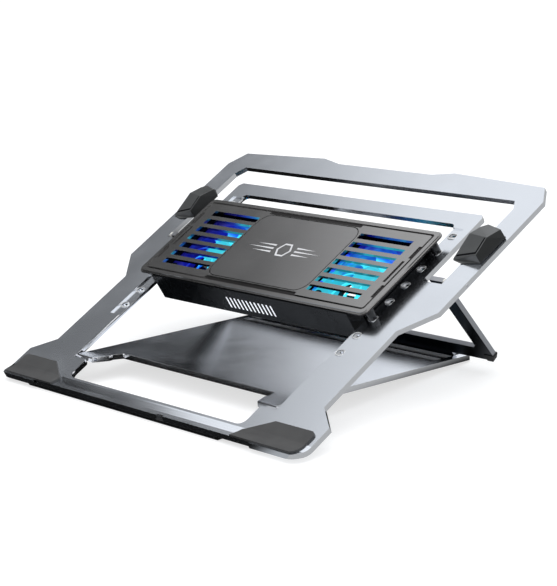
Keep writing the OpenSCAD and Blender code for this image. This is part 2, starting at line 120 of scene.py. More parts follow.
def sweep_floor(half_side=7.0, lift=0.68, mat_edge=0.105, mat_reach=0.35):
    """The pale floor, lit a little from behind. Metal mirrors a dark mat, and glare beside it."""
    mesh = bpy.data.meshes.new("studio_floor")
    corners = [(-half_side, -half_side, 0), (half_side, -half_side, 0),
               (half_side, half_side, 0), (-half_side, half_side, 0)]
    mesh.from_pydata(corners, [], [(0, 1, 2, 3)])
    floor = bpy.data.objects.new("studio_floor", mesh)
    bpy.context.scene.collection.objects.link(floor)
    paper = bpy.data.materials.new("sweep_paper")
    paper.use_nodes = True
    tree = paper.node_tree
    shader = tree.nodes["Principled BSDF"]
    shader.inputs["Base Color"].default_value = (0.42, 0.425, 0.43, 1)
    shader.inputs["Roughness"].default_value = 0.9
    shader.inputs["Specular IOR Level"].default_value = 0.0
    shader.inputs["Emission Color"].default_value = (1, 1, 1, 1)
    shader.inputs["Emission Strength"].default_value = lift
    where = add(tree, "ShaderNodeTexCoord").outputs["Object"]
    out_from_middle = add(tree, "ShaderNodeVectorMath", {0: where}, operation="LENGTH").outputs["Value"]
    beyond = spread(tree, out_from_middle, mat_reach, 2 * mat_reach, 0.006, 0.45, smooth=True)
    across = add(tree, "ShaderNodeSeparateXYZ", {0: where}).outputs["X"]
    beside = spread(tree, across, mat_edge - 0.01, mat_edge + 0.015, 0.006, 0.45, smooth=True)
    glare = sum_of(tree, beyond, beside, "MAXIMUM")
    mat = add(tree, "ShaderNodeEmission", {"Color": (0.96, 0.98, 1.0, 1), "Strength": glare})
    seen = add(tree, "ShaderNodeLightPath").outputs["Is Camera Ray"]
    mixed = add(tree, "ShaderNodeMixShader", {0: seen, 1: mat.outputs[0], 2: shader.outputs[0]})
    tree.links.new(mixed.outputs[0], tree.nodes["Material Output"].inputs["Surface"])
    mesh.materials.append(paper)


def overhead_softbox(centre, height=1.5, side=1.6, watts=9.0):
    light = bpy.data.lights.new("overhead_softbox", "AREA")
    light.shape, light.size, light.energy = "SQUARE", side, watts
    lamp = bpy.data.objects.new("overhead_softbox", light)
    bpy.context.scene.collection.objects.link(lamp)
    lamp.location = centre + Vector((0.35, 0.1, height))
    lamp.rotation_euler = (lamp.location - centre).to_track_quat("Z", "Y").to_euler()


def set_camera(place, yaw, pitch, roll, lens):
    """Camera at a place, turned from +Y by yaw, tipped down by pitch and rolled about its view."""
    y, p = math.radians(yaw), math.radians(pitch)
    look = Vector((-math.sin(y) * math.cos(p), math.cos(y) * math.cos(p), -math.sin(p)))
    data = bpy.data.cameras.new("camera")
    data.sensor_width, data.lens = 36.0, lens
    data.clip_start, data.clip_end = 0.05, 40.0
    camera = bpy.data.objects.new("camera", data)
    bpy.context.scene.collection.objects.link(camera)
    camera.rotation_mode = "QUATERNION"
    turn = Quaternion((0, 0, 1), math.radians(roll))
    camera.rotation_quaternion = look.to_track_quat("-Z", "Y") @ turn
    camera.location = place
    bpy.context.scene.camera = camera


set_camera(place=(0.8845, -0.6969, 0.3400), yaw=51.457, pitch=14.645, roll=-6.495, lens=121.99)
bpy.context.scene.view_settings.view_transform = "Standard"
tent_light()
sweep_floor()
overhead_softbox((cad_low + cad_high) / 2)

# ---------------------------------------------------------------------------
# Deck plate. One sheet of aluminium, cut out, its lip bent up in a press, then
# blasted and anodised silver. Its cut edges are machined bright afterwards.
# ---------------------------------------------------------------------------
joints = {joint["name"]: joint for joint in frame["joints"]}
deck_normal = Vector(joints["fan_left_spin"]["axis"]).normalized()
deck_tilt = math.atan2(-deck_normal.y, deck_normal.z)
leg_axis_from_lip, plate_middle = 144.7 * mm, -1.5 * mm
turned = Matrix.Rotation(deck_tilt, 4, "X")
deck_origin = Vector(joints["leg_fold"]["pos_m"]) - turned @ Vector((0, leg_axis_from_lip, plate_middle))
on_deck = Matrix.Translation(deck_origin) @ turned
off_deck = on_deck.inverted()


def new_group(name, inputs, outputs):
    """An empty shader node group; inputs are {name: default}, outputs are {name: socket type}."""
    tree = bpy.data.node_groups.new(name, "ShaderNodeTree")
    for label, value in inputs.items():
        kind = "NodeSocketVector" if value is None else "NodeSocketFloat"
        socket = tree.interface.new_socket(name=label, in_out="INPUT", socket_type=kind)
        if value is not None:
            socket.default_value = value
    for label, kind in outputs.items():
        tree.interface.new_socket(name=label, in_out="OUTPUT", socket_type=kind)
    return tree, tree.nodes.new("NodeGroupInput").outputs, tree.nodes.new("NodeGroupOutput")


def blasted_grain_group():
    """Fine blasted grain with faint rolling streaks, for sheet metal."""
    tree, given, out = new_group(
        "blasted grain", {"Vector": None, "Grain size": 0.25, "Streaks": 0.5},
        {"Tint": "NodeSocketFloat", "Height": "NodeSocketFloat"},
    )
    frequency = sum_of(tree, 1000.0, given["Grain size"], "DIVIDE")
    grain = add(
        tree, "ShaderNodeTexNoise",
        {"Vector": given["Vector"], "Scale": frequency, "Detail": 3.0, "Roughness": 0.6},
    ).outputs["Fac"]
    long_way = add(tree, "ShaderNodeMapping", {"Vector": given["Vector"], "Scale": (40.0, 900.0, 900.0)})
    streak = add(tree, "ShaderNodeTexNoise",
                 {"Vector": long_way.outputs[0], "Scale": 1.0, "Detail": 2.0}).outputs["Fac"]
    weighed = sum_of(tree, streak, given["Streaks"], "MULTIPLY")
    both = sum_of(tree, grain, weighed)
    tree.links.new(both, out.inputs["Height"])
    tree.links.new(spread(tree, both, 0.3, 1.2, 0.0, 1.0), out.inputs["Tint"])
    return tree


def handling_group():
    """Broad soft patches where hands and wiping have changed a finish."""
    tree, given, out = new_group(
        "handling marks", {"Vector": None, "Patch size": 40.0}, {"Mask": "NodeSocketFloat"}
    )
    frequency = sum_of(tree, 1000.0, given["Patch size"], "DIVIDE")
    patches = add(tree, "ShaderNodeTexNoise",
                  {"Vector": given["Vector"], "Scale": frequency, "Detail": 5.0, "Roughness": 0.62,
                   "Distortion": 0.6}).outputs["Fac"]
    tree.links.new(spread(tree, patches, 0.38, 0.66, 0.0, 1.0, smooth=True), out.inputs["Mask"])
    return tree


grain_group = blasted_grain_group()
marks_group = handling_group()


def principled(name, **plain):
    """A material with one Principled shader; plain sockets are set on the shader itself."""
    finish = bpy.data.materials.new(name)
    finish.use_nodes = True
    tree = finish.node_tree
    shader = tree.nodes["Principled BSDF"]
    for label, value in plain.items():
        shader.inputs[label.replace("_", " ")].default_value = value
    return finish, tree, shader


def placed(tree, group, sockets):
    node = add(tree, "ShaderNodeGroup", node_tree=group)
    for key, value in sockets.items():
        if isinstance(value, bpy.types.NodeSocket):
            tree.links.new(value, node.inputs[key])
        else:
            node.inputs[key].default_value = value
    return node.outputs


def two_tones(tree, shader, mask, dark, light):
    mix = add(tree, "ShaderNodeMix", {"Factor": mask, 6: (*dark, 1), 7: (*light, 1)}, data_type="RGBA")
    tree.links.new(mix.outputs[2], shader.inputs["Base Color"])


def bumped(tree, shader, height, depth):
    bump = add(tree, "ShaderNodeBump", {"Height": height, "Strength": 1.0, "Distance": depth})
    tree.links.new(bump.outputs[0], shader.inputs["Normal"])


def sheet_metal(name, colour, roughness, grain=0.22, streaks=0.35, depth=0.0007 * mm, spread_by=0.05,
                metallic=1.0):
    """Blasted and anodised sheet: grain in its colour and relief, handling marks in its gloss."""
    finish, tree, shader = principled(name, Metallic=metallic)
    where = add(tree, "ShaderNodeTexCoord").outputs["Object"]
    relief = placed(tree, grain_group, {"Vector": where, "Grain size": grain, "Streaks": streaks})
    marks = placed(tree, marks_group, {"Vector": where})
    dark = [c * (1 - spread_by) for c in colour]
    light = [min(1.0, c * (1 + spread_by)) for c in colour]
    two_tones(tree, shader, relief["Tint"], dark, light)
    gloss = spread(tree, marks["Mask"], 0.0, 1.0, roughness * 0.92, roughness * 1.08)
    tree.links.new(gloss, shader.inputs["Roughness"])
    bumped(tree, shader, relief["Height"], depth)
    return finish


def welded_copy(node, name):
    """A copy of a CAD node's mesh with its loose triangles joined into plain faces."""
    shape = bmesh.new()
    shape.from_mesh(frame["nodes"][node].data)
    bmesh.ops.remove_doubles(shape, verts=shape.verts, dist=0.002 * mm)
    bmesh.ops.dissolve_limit(shape, angle_limit=math.radians(0.6), verts=shape.verts, edges=shape.edges)
    mesh = bpy.data.meshes.new(name)
    shape.to_mesh(mesh)
    shape.free()
    piece = bpy.data.objects.new(name, mesh)
    bpy.context.scene.collection.objects.link(piece)
    return piece


def eased(piece, width, segments=2, sharper_than=30.0, bright=-1, narrow=2.5 * mm):
    """Rounds the sharp edges. Wide faces stay flat, and bright is the slot that the new strips take."""
    sharp = math.radians(sharper_than)
    shape = bmesh.new()
    shape.from_mesh(piece.data)
    shape.normal_update()
    joins = [edge for edge in shape.edges if len(edge.link_faces) == 2]
    for face in shape.faces:
        face.smooth = False
    for edge in joins:
        if math.radians(0.6) < edge.calc_face_angle() < sharp:
            for face in edge.link_faces:
                longest = max(side.calc_length() for side in face.edges)
                face.smooth = face.calc_area() < narrow * longest
    corners = [edge for edge in joins if edge.calc_face_angle() >= sharp]
    rounded = bmesh.ops.bevel(shape, geom=corners, offset=width, offset_type="OFFSET", segments=segments,
                              profile=0.5, affect="EDGES", clamp_overlap=True, material=bright)
    for face in rounded["faces"]:
        face.smooth = True
    shape.to_mesh(piece.data)
    shape.free()
    return piece


def shown(piece, body, slot, *nodes):
    """The piece rides on its body and stands for CAD nodes; slot is not used."""
    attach(piece, body)
    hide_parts(*nodes)
    return piece


silver = (0.80, 0.835, 0.89)
anodised = sheet_metal("anodised_silver", silver, roughness=0.21)
bright_cut = sheet_metal("bright_cut_edge", (0.90, 0.91, 0.93), roughness=0.13, grain=0.5, streaks=1.2,
                         depth=0.0007 * mm, spread_by=0.03)


def cut_edges(piece, normal, slot=1):
    """Gives the walls that stand square to the sheet their own slot."""
    for face in piece.data.polygons:
        if abs(face.normal.dot(normal)) < 0.35:
            face.material_index = slot


deck = welded_copy("deck_frame", "deck_plate")
deck.data.materials.append(anodised)
deck.data.materials.append(bright_cut)
cut_edges(deck, deck_normal)
eased(deck, 0.28 * mm, bright=1)
shown(deck, "deck", "deck_plate", "deck_frame")

# ---------------------------------------------------------------------------
# Hole rims. Each slotted hole in the side ledges is countersunk, and the cut
# leaves a bright polished rim. They repeat at one pitch along both ledges.
# ---------------------------------------------------------------------------
def new_growth(name, inputs):
    """An empty Geometry Nodes tree; an input of None takes geometry, the others take a number."""
    tree = bpy.data.node_groups.new(name, "GeometryNodeTree")
    kinds = {type(None): "NodeSocketGeometry", int: "NodeSocketInt", float: "NodeSocketFloat"}
    for label, value in inputs.items():
        socket = tree.interface.new_socket(name=label, in_out="INPUT", socket_type=kinds[type(value)])
        if value is not None:
            socket.default_value = value
    tree.interface.new_socket(name="Geometry", in_out="OUTPUT", socket_type="NodeSocketGeometry")
    return tree, tree.nodes.new("NodeGroupInput").outputs, tree.nodes.new("NodeGroupOutput")


def rim_row_tree(finish):
    """Geometry Nodes: one countersunk rim, repeated along a ledge and mirrored to the other."""
    tree, given, out = new_growth("rows of hole rims", {
        "Hole length": 5.2 * mm, "Hole width": 3.4 * mm, "Rim": 0.75 * mm, "Sink": 0.42 * mm,
        "Side": 99.6 * mm, "First": 78.8 * mm, "Pitch": 14.4 * mm, "Ledge": 1.0 * mm, "Count": 8,
    })
    outline = add(tree, "GeometryNodeCurvePrimitiveQuadrilateral",
                  {"Width": given["Hole length"], "Height": given["Hole width"]}, mode="RECTANGLE")
    corner = sum_of(tree, given["Hole width"], 0.499, "MULTIPLY")
    obround = add(tree, "GeometryNodeFilletCurve",
                  {"Curve": outline.outputs[0], "Radius": corner, "Count": 7, "Limit Radius": True},
                  mode="POLY")
    inward = sum_of(tree, given["Rim"], -1.0, "MULTIPLY")
    down = sum_of(tree, given["Sink"], -1.0, "MULTIPLY")
    top = add(tree, "ShaderNodeCombineXYZ", {0: given["Rim"], 1: 0.02 * mm})
    low = add(tree, "ShaderNodeCombineXYZ", {0: sum_of(tree, inward, 0.1, "MULTIPLY"), 1: down})
    under = add(tree, "ShaderNodeCombineXYZ", {0: given["Rim"], 1: down})
    slope = add(tree, "GeometryNodeCurvePrimitiveLine", {"Start": top.outputs[0], "End": low.outputs[0]})
    floor = add(tree, "GeometryNodeCurvePrimitiveLine", {"Start": low.outputs[0], "End": under.outputs[0]})
    wall = add(tree, "GeometryNodeCurvePrimitiveLine", {"Start": under.outputs[0], "End": top.outputs[0]})
    section = add(tree, "GeometryNodeJoinGeometry")
    for line in (slope, floor, wall):
        tree.links.new(line.outputs[0], section.inputs[0])
    swept = add(tree, "GeometryNodeCurveToMesh",
                {"Curve": obround.outputs[0], "Profile Curve": section.outputs[0]})
    welded = add(tree, "GeometryNodeMergeByDistance", {"Geometry": swept.outputs[0], "Distance": 0.003 * mm})
    start = add(tree, "ShaderNodeCombineXYZ",
                {0: given["Side"], 1: given["First"], 2: sum_of(tree, given["Ledge"], -1.0, "MULTIPLY")})
    step = add(tree, "ShaderNodeCombineXYZ", {1: given["Pitch"]})
    row = add(tree, "GeometryNodeMeshLine",
              {"Count": given["Count"], "Start Location": start.outputs[0], "Offset": step.outputs[0]})
    rims = add(tree, "GeometryNodeInstanceOnPoints",
               {"Points": row.outputs[0], "Instance": welded.outputs[0]})
    other = add(tree, "ShaderNodeCombineXYZ", {0: sum_of(tree, given["Side"], -2.0, "MULTIPLY")})
    across = add(tree, "GeometryNodeTransform",
                 {"Geometry": rims.outputs[0], "Translation": other.outputs[0]})
    sides = add(tree, "GeometryNodeJoinGeometry")
    tree.links.new(rims.outputs[0], sides.inputs[0])
    tree.links.new(across.outputs[0], sides.inputs[0])
    real = add(tree, "GeometryNodeRealizeInstances", {"Geometry": sides.outputs[0]})
    dressed = add(tree, "GeometryNodeSetMaterial", {"Geometry": real.outputs[0], "Material": finish})
    tree.links.new(dressed.outputs[0], out.inputs[0])
    return tree


def grown(name, tree, place, points=None, **sizes):
    """A plain mesh made by a Geometry Nodes tree, its normals outward, set in its place."""
    piece = bpy.data.objects.new(name, points or bpy.data.meshes.new(name))
    bpy.context.scene.collection.objects.link(piece)
    modifier = piece.modifiers.new(name, "NODES")
    modifier.node_group = tree
    for socket in tree.interface.items_tree:
        if socket.item_type == "SOCKET" and socket.in_out == "INPUT" and socket.name in sizes:
            modifier[socket.identifier] = sizes[socket.name]
    graph = bpy.context.evaluated_depsgraph_get()
    made = bpy.data.meshes.new_from_object(piece.evaluated_get(graph), depsgraph=graph)
    piece.modifiers.clear()
    shape = bmesh.new()
    shape.from_mesh(made)
    bmesh.ops.remove_doubles(shape, verts=shape.verts, dist=0.001 * mm)
    bmesh.ops.recalc_face_normals(shape, faces=shape.faces)
    shape.to_mesh(made)
    shape.free()
    made.transform(place)
    piece.data = made
    return piece


rim_polish = sheet_metal("hole_rim_polish", (0.93, 0.94, 0.95), roughness=0.22, grain=0.5, metallic=0.45)
rims = grown("hole_rims", rim_row_tree(rim_polish), on_deck)
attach(rims, "deck")

# ---------------------------------------------------------------------------
# Rubber. Two soft pads wrap up the lip at the front corners, a strip under the
# lip and two pads under the base grip the table. All are moulded and glued on.
# ---------------------------------------------------------------------------
def moulded_skin_group():
    """The fine leathery skin that a spark-eroded mould leaves on rubber and plastic."""
    tree, given, out = new_group(
        "moulded skin", {"Vector": None, "Cell size": 0.35},
        {"Height": "NodeSocketFloat", "Dust": "NodeSocketFloat"}
    )
    frequency = sum_of(tree, 1000.0, given["Cell size"], "DIVIDE")
    cells = add(tree, "ShaderNodeTexVoronoi",
                {"Vector": given["Vector"], "Scale": frequency}, feature="SMOOTH_F1").outputs["Distance"]
    grit = add(tree, "ShaderNodeTexNoise",
               {"Vector": given["Vector"], "Scale": sum_of(tree, frequency, 2.2, "MULTIPLY"), "Detail": 2.0})
    tree.links.new(sum_of(tree, cells, grit.outputs["Fac"]), out.inputs["Height"])
    dust = add(tree, "ShaderNodeTexNoise",
               {"Vector": given["Vector"], "Scale": sum_of(tree, frequency, 0.03, "MULTIPLY"),
                "Detail": 4.0})
    tree.links.new(spread(tree, dust.outputs["Fac"], 0.35, 0.75, 0.0, 1.0), out.inputs["Dust"])
    return tree


skin_group = moulded_skin_group()


def moulded(name, dark, light, roughness, cell=0.35, depth=0.012 * mm, **plain):
    """Moulded rubber or plastic: skin in its relief, a trace of dust in its colour and gloss."""
    finish, tree, shader = principled(name, **plain)
    where = add(tree, "ShaderNodeTexCoord").outputs["Object"]
    skin = placed(tree, skin_group, {"Vector": where, "Cell size": cell})
    two_tones(tree, shader, skin["Dust"], dark, light)
    tree.links.new(spread(tree, skin["Dust"], 0.0, 1.0, roughness * 0.92, roughness * 1.08),
                   shader.inputs["Roughness"])
    bumped(tree, shader, skin["Height"], depth)
    return finish


def dressed_copy(node, name, finish, width, segments=2, sharper_than=30.0):
    """The node's welded mesh with eased edges, in one finish."""
    piece = welded_copy(node, name)
    piece.data.materials.append(finish)
    return eased(piece, width, segments, sharper_than)


pad_rubber = moulded("soft_pad_rubber", (0.045, 0.045, 0.046), (0.060, 0.060, 0.060), 0.62)
sole_rubber = moulded("black_sole_rubber", (0.008, 0.008, 0.009), (0.014, 0.014, 0.015), 0.55)
for side in ("left", "right"):
    pad = dressed_copy(f"front_pad_{side}", f"corner_pad_{side}", pad_rubber, 0.45 * mm, segments=3)
    shown(pad, "deck", "pad_rubber", f"front_pad_{side}")
strip = dressed_copy("front_rubber_strip", "lip_rubber_strip", sole_rubber, 0.3 * mm)
shown(strip, "deck", "sole_rubber", "front_rubber_strip")
soles = dressed_copy("base_rubber_pads", "base_rubber_soles", sole_rubber, 0.2 * mm)
shown(soles, "base", "sole_rubber", "base_rubber_pads")

# ---------------------------------------------------------------------------
# Rail blocks. Two hard rubber stops hold the laptop's back corners. One faceted
# moulding serves both sides. Its walls are painted darker as shade, and a dark
# band along its high edge and its front is the painted shadow of a seam.
# ---------------------------------------------------------------------------
block_shift = 254.3


def polygon_mesh(name, points, faces, finish):
    """A mesh from points in millimetres above the deck and faces by point name, its normals outward."""
    shape = bmesh.new()
    corners = {label: shape.verts.new([c * mm for c in place]) for label, place in points.items()}
    for face in faces:
        shape.faces.new([corners[label] for label in face.split()])
    bmesh.ops.recalc_face_normals(shape, faces=shape.faces)
    mesh = bpy.data.meshes.new(name)
    shape.to_mesh(mesh)
    shape.free()
    mesh.transform(on_deck)
    mesh.materials.append(finish)
    piece = bpy.data.objects.new(name, mesh)
    bpy.context.scene.collection.objects.link(piece)
    return piece


def wedge_block(name, shift, foot, finish):
    """Points: t is the top, u the underside of the overhang, f the foot on the rail."""
    top = {"t1": (117.0, 161.2, 1.15), "t2": (117.0, 178.2, 5.0), "t3": (117.3, 187.0, 2.8),
           "t4": (120.3, 190.4, 2.2), "t5": (136.6, 184.0, 5.9), "t6": (136.8, 172.8, 9.05),
           "t7": (136.8, 161.1, 6.25)}
    under = {"u1": (117.2, 160.0, 0.5), "u2": (117.2, 178.0, 0.5), "u3": (117.5, 186.8, 0.5),
             "u4": (120.5, 190.2, 0.5), "u5": (129.8, 189.2, 0.5), "u6": (138.1, 183.4, 0.5),
             "u7": (138.1, 172.5, 0.5), "u8": (137.5, 161.1, 0.5), "u9": (124.4, 158.1, 0.5)}
    low, high = foot
    feet = {"f1": (low, 159.4, 0.5), "f2": (high, 160.6, 0.5),
            "f3": (high, 184.5, 0.5), "f4": (low, 188.8, 0.5)}
    feet |= {label.replace("f", "g"): (x, y, 0.0) for label, (x, y, z) in feet.items()}
    points = {label: (x - shift, y, z) for label, (x, y, z) in (top | under | feet).items()}
    faces = ["t1 t2 t6 t7", "t2 t3 t4 t5 t6", "t7 t6 u7 u8", "t6 t5 u6 u7", "t5 t4 u4 u5 u6",
             "t1 t7 u8 u9 u1", "t1 t2 u2 u1", "t2 t3 u3 u2", "t3 t4 u4 u3", "u1 u2 u3 u4 u5 u6 u7 u8 u9",
             "f1 f2 f3 f4", "g1 g2 g3 g4", "f1 f2 g2 g1", "f2 f3 g3 g2", "f3 f4 g4 g3", "f4 f1 g1 g4"]
    return polygon_mesh(name, points, faces, finish)


def seam_strip(name, shift, line, finish, width=1.25, proud=0.05):
    """A near-black band of painted seam shadow that follows the facets just inside the block's edge; line is
    along its outer side.
    """
    points, faces = {}, []
    for index, (x, y, z, across_x, across_y, fall) in enumerate(line):
        inner = (x + across_x * width, y + across_y * width, z + fall * width)
        for label, (px, py, pz), drop in (("a", inner, -proud), ("b", (x, y, z), -proud),
                                          ("d", (x, y, z), 0.5), ("e", inner, 0.5)):
            points[f"{label}{index}"] = (px - shift, py, pz - drop)
    last = len(line) - 1
    for k in range(last):
        faces += [f"a{k} b{k} b{k + 1} a{k + 1}", f"b{k} d{k} d{k + 1} b{k + 1}",
                  f"d{k} e{k} e{k + 1} d{k + 1}", f"e{k} a{k} a{k + 1} e{k + 1}"]
    faces += ["a0 e0 d0 b0", f"a{last} b{last} d{last} e{last}"]
    return polygon_mesh(name, points, faces, finish)


block_rubber = moulded("hard_block_rubber", (0.080, 0.083, 0.084), (0.096, 0.099, 0.100), 0.30,
                       depth=0.002 * mm)
wall_shade_paint = moulded("block_wall_painted_shade", (0.012, 0.013, 0.013), (0.017, 0.018, 0.018), 0.42,
                      depth=0.002 * mm, Specular_IOR_Level=0.3)
seam_shadow_paint = moulded("seam_shadow_rubber", (0.002, 0.002, 0.003), (0.004, 0.004, 0.005), 0.8,
                      Specular_IOR_Level=0.05)
seam_line = [(118.4, 162.0, 1.71, 0.1, 1.0, 0.25), (136.0, 161.9, 6.24, -1.0, 1.0, -0.02),
             (136.1, 172.7, 8.89, -1.0, 0.0, -0.26), (135.9, 183.3, 5.97, -1.0, 0.0, -0.12)]
feet = {"left": (117.6, 129.2), "right": (124.7, 137.2)}
for side, shift in (("left", block_shift), ("right", 0.0)):
    block = wedge_block(f"stop_block_{side}", shift, feet[side], block_rubber)
    # Walls square to the deck take a darker copy of the rubber, as painted shade.
    block.data.materials.append(wall_shade_paint)
    cut_edges(block, deck_normal)
    eased(block, 0.3 * mm, segments=3, sharper_than=12.0)
    shown(block, "deck", "pad_rubber", f"rail_block_{side}")
    # A near-black band laid along the seam, as its painted shadow.
    seam = seam_strip(f"stop_block_seam_{side}", shift, seam_line, seam_shadow_paint)
    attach(seam, "deck")

# ---------------------------------------------------------------------------
# Base plate. A thicker sheet of the same aluminium on two hinge tabs, with
# three milled grooves at its back, one of which the leg's crossbar stands in.
# ---------------------------------------------------------------------------
def sheet_normal(node):
    """The normal of a plate's largest face."""
    mesh = frame["nodes"][node].data
    areas = {}
    for face in mesh.polygons:
        key = tuple(round(c, 3) for c in face.normal)
        areas[key] = areas.get(key, 0.0) + face.area
    return Vector(max(areas, key=areas.get)).normalized()


base_satin = sheet_metal("base_satin_aluminium", (0.76, 0.80, 0.87), roughness=0.22, streaks=0.9)
base = welded_copy("base_plate", "base_plate_body")
base.data.materials.append(base_satin)
base.data.materials.append(bright_cut)
base.data.materials.append(
    sheet_metal("base_groove_painted_shade", (0.035, 0.038, 0.048), roughness=0.30, streaks=0.9, spread_by=0.2)
)
base_normal = sheet_normal("base_plate")
cut_edges(base, base_normal)
# Upward faces sunk below the top, the groove floors, are painted near black as shade.
highest = max(face.center.dot(base_normal) for face in base.data.polygons)
for face in base.data.polygons:
    if face.normal.dot(base_normal) > 0.9 and face.center.dot(base_normal) < highest - 0.4 * mm:
        face.material_index = 2
eased(base, 0.3 * mm, bright=1)
shown(base, "base", "base_metal", "base_plate")

# ---------------------------------------------------------------------------
# Leg. A U of dark painted plate, its edges ground bare. Thin rubber boots are
# pushed on the corners of its feet, and nylon washers keep it off the rails.
# ---------------------------------------------------------------------------
leg_paint = sheet_metal("leg_dark_paint", (0.045, 0.05, 0.062), roughness=0.30, spread_by=0.15)
leg_edge = sheet_metal("leg_bare_edge", (0.46, 0.47, 0.50), roughness=0.3)
leg = welded_copy("rear_leg", "folding_leg")
leg.data.materials.append(leg_paint)
leg.data.materials.append(leg_edge)
cut_edges(leg, sheet_normal("rear_leg"))
eased(leg, 0.25 * mm, bright=1)
shown(leg, "leg", "leg_metal", "rear_leg")

nylon = moulded("nylon", (0.74, 0.73, 0.69), (0.82, 0.81, 0.77), 0.42, depth=0.004 * mm)
washers = dressed_copy("leg_washers", "hinge_washers", nylon, 0.08 * mm)
shown(washers, "deck", "nylon", "leg_washers")
for side in ("left", "right"):
    boot = dressed_copy(f"leg_cap_{side}", f"foot_boot_{side}", sole_rubber, 0.12 * mm)
    shown(boot, "leg", "sole_rubber", f"leg_cap_{side}")

# ---------------------------------------------------------------------------
# Hinge pins. Turned steel pins pressed into the deck's rails; their chamfered
# ends show in the outer edges. The leg and the base turn on them.
# ---------------------------------------------------------------------------
turned_steel = sheet_metal("turned_steel", (0.74, 0.75, 0.78), roughness=0.2, grain=0.12, streaks=1.4)
for hinge in ("leg_pin", "base_pin"):
    for side in ("left", "right"):
        pin = dressed_copy(f"{hinge}_{side}", f"{hinge}_steel_{side}", turned_steel, 0.18 * mm)
        shown(pin, "deck", "steel", f"{hinge}_{side}")

# ---------------------------------------------------------------------------
# Fan cover. A pressed aluminium lid, anodised warm dark grey, with seven slots
# over each fan and a groove round its edge. The groove's floor and the lid's
# outer walls are painted near black as shade.
# ---------------------------------------------------------------------------
cover_top, groove_depth = 8.8 * mm, 0.7 * mm
cover_anodised = sheet_metal("cover_dark_anodised", (0.36, 0.355, 0.352), roughness=0.17, grain=0.3,
                             streaks=0.2)
cover_shade_paint = sheet_metal("cover_sunk_groove_painted_shade", (0.040, 0.037, 0.037), roughness=0.22, grain=0.4)
cover_edge = sheet_metal("cover_worn_edge", (0.42, 0.42, 0.41), roughness=0.28)


def sunk_faces(piece, height, slot, reach=0.05 * mm):
    """Gives the faces that look up at one height above the deck their own slot."""
    for face in piece.data.polygons:
        centre = off_deck @ face.center
        if abs(centre.z - height) < reach and face.normal.dot(deck_normal) > 0.9:
            face.material_index = slot


cover = welded_copy("fan_cover", "cover_lid")
for finish in (cover_anodised, cover_shade_paint, cover_edge):
    cover.data.materials.append(finish)
# The groove floor, and below the outer walls under the top, are painted near black as shade.
sunk_faces(cover, cover_top - groove_depth, slot=1)
for face in cover.data.polygons:
    from_middle = off_deck @ face.center - Vector((0, 136.7 * mm, 0))
    outer = abs(from_middle.x) > 101 * mm or abs(from_middle.y) > 34.5 * mm
    if outer and abs(face.normal.dot(deck_normal)) < 0.35 and from_middle.z < cover_top - 1.0 * mm:
        face.material_index = 1
eased(cover, 0.18 * mm, bright=2)
shown(cover, "deck", "cover_grey", "fan_cover")

# ---------------------------------------------------------------------------
# Centre panel and its ornament. The panel is a separate brushed plate let into
# the cover. The ornament is a plain hexagon with tapering bars, printed in silver.
# ---------------------------------------------------------------------------
panel_edge_shade = sheet_metal("panel_edge_painted_shade", (0.012, 0.011, 0.011), roughness=0.5)
panel_brushed = sheet_metal("panel_brushed", (0.345, 0.34, 0.34), roughness=0.17, streaks=0.8)
panel = welded_copy("badge_panel", "centre_panel")
panel.data.materials.append(panel_brushed)
# The panel's rounded edges are painted near black, as the shade of the seam round it.
panel.data.materials.append(panel_edge_shade)
eased(panel, 0.32 * mm, bright=1)
shown(panel, "deck", "panel_grey", "badge_panel")
silver_print = moulded("silver_print", (0.66, 0.66, 0.68), (0.76, 0.76, 0.78), 0.45, depth=0.003 * mm)
ornament = dressed_copy("panel_ornament", "panel_inlay", silver_print, 0.04 * mm)
shown(ornament, "deck", "print_white", "panel_ornament")

# ---------------------------------------------------------------------------
# Fans. Two square frames of black nylon hold impellers of clear blue plastic, with
# LED light painted on as a cyan glow near the LEDs that fades to deep blue.
# ---------------------------------------------------------------------------
fan_centre, glow_centre, glow_reach = {}, {}, {}
for side in ("left", "right"):
    hub = Vector(joints[f"fan_{side}_spin"]["pos_m"])
    fan_centre[side] = on_deck @ Vector(((off_deck @ hub).x, (off_deck @ hub).y, 0))
# Where the painted LED glow is brightest on each fan, and how far it reaches.
glow_centre = {"left": (9.0, 0.0), "right": (-1.0, -7.0)}
glow_reach = {"left": 20.0, "right": 25.0}


def led_glow_group():
    """Painted LED light by distance: cyan close to the LEDs, then blue, then a deep blue that dies away."""
    tree, given, out = new_group("LED glow", {"Vector": None, "Reach": 22.0}, {"Light": "NodeSocketColor"})
    wobble = add(tree, "ShaderNodeTexNoise", {"Vector": given["Vector"], "Scale": 150.0, "Detail": 1.0})
    shaken = sum_of(tree, sum_of(tree, wobble.outputs["Fac"], 0.5, "SUBTRACT"), 0.5, "MULTIPLY")
    far = add(tree, "ShaderNodeVectorMath", {0: given["Vector"]}, operation="LENGTH").outputs["Value"]
    reach = sum_of(tree, given["Reach"], mm, "MULTIPLY")
    near = sum_of(tree, sum_of(tree, far, reach, "DIVIDE"), shaken)
    by_distance = add(tree, "ShaderNodeValToRGB", {"Fac": sum_of(tree, near, 0.5, "MULTIPLY")})
    ramp = by_distance.color_ramp
    stops = [(0.0, (0.07, 0.84, 1.0)), (0.40, (0.04, 0.76, 1.0)), (0.48, (0.012, 0.20, 0.90)),
             (0.58, (0.006, 0.016, 0.55)), (0.74, (0.005, 0.004, 0.22)), (1.0, (0.0, 0.0, 0.02))]
    while len(ramp.elements) < len(stops):
        ramp.elements.new(0.5)
    for element, (place, colour) in zip(ramp.elements, stops):
        element.position, element.color = place, (*colour, 1)
    tree.links.new(by_distance.outputs["Color"], out.inputs["Light"])
    return tree


glow_group = led_glow_group()


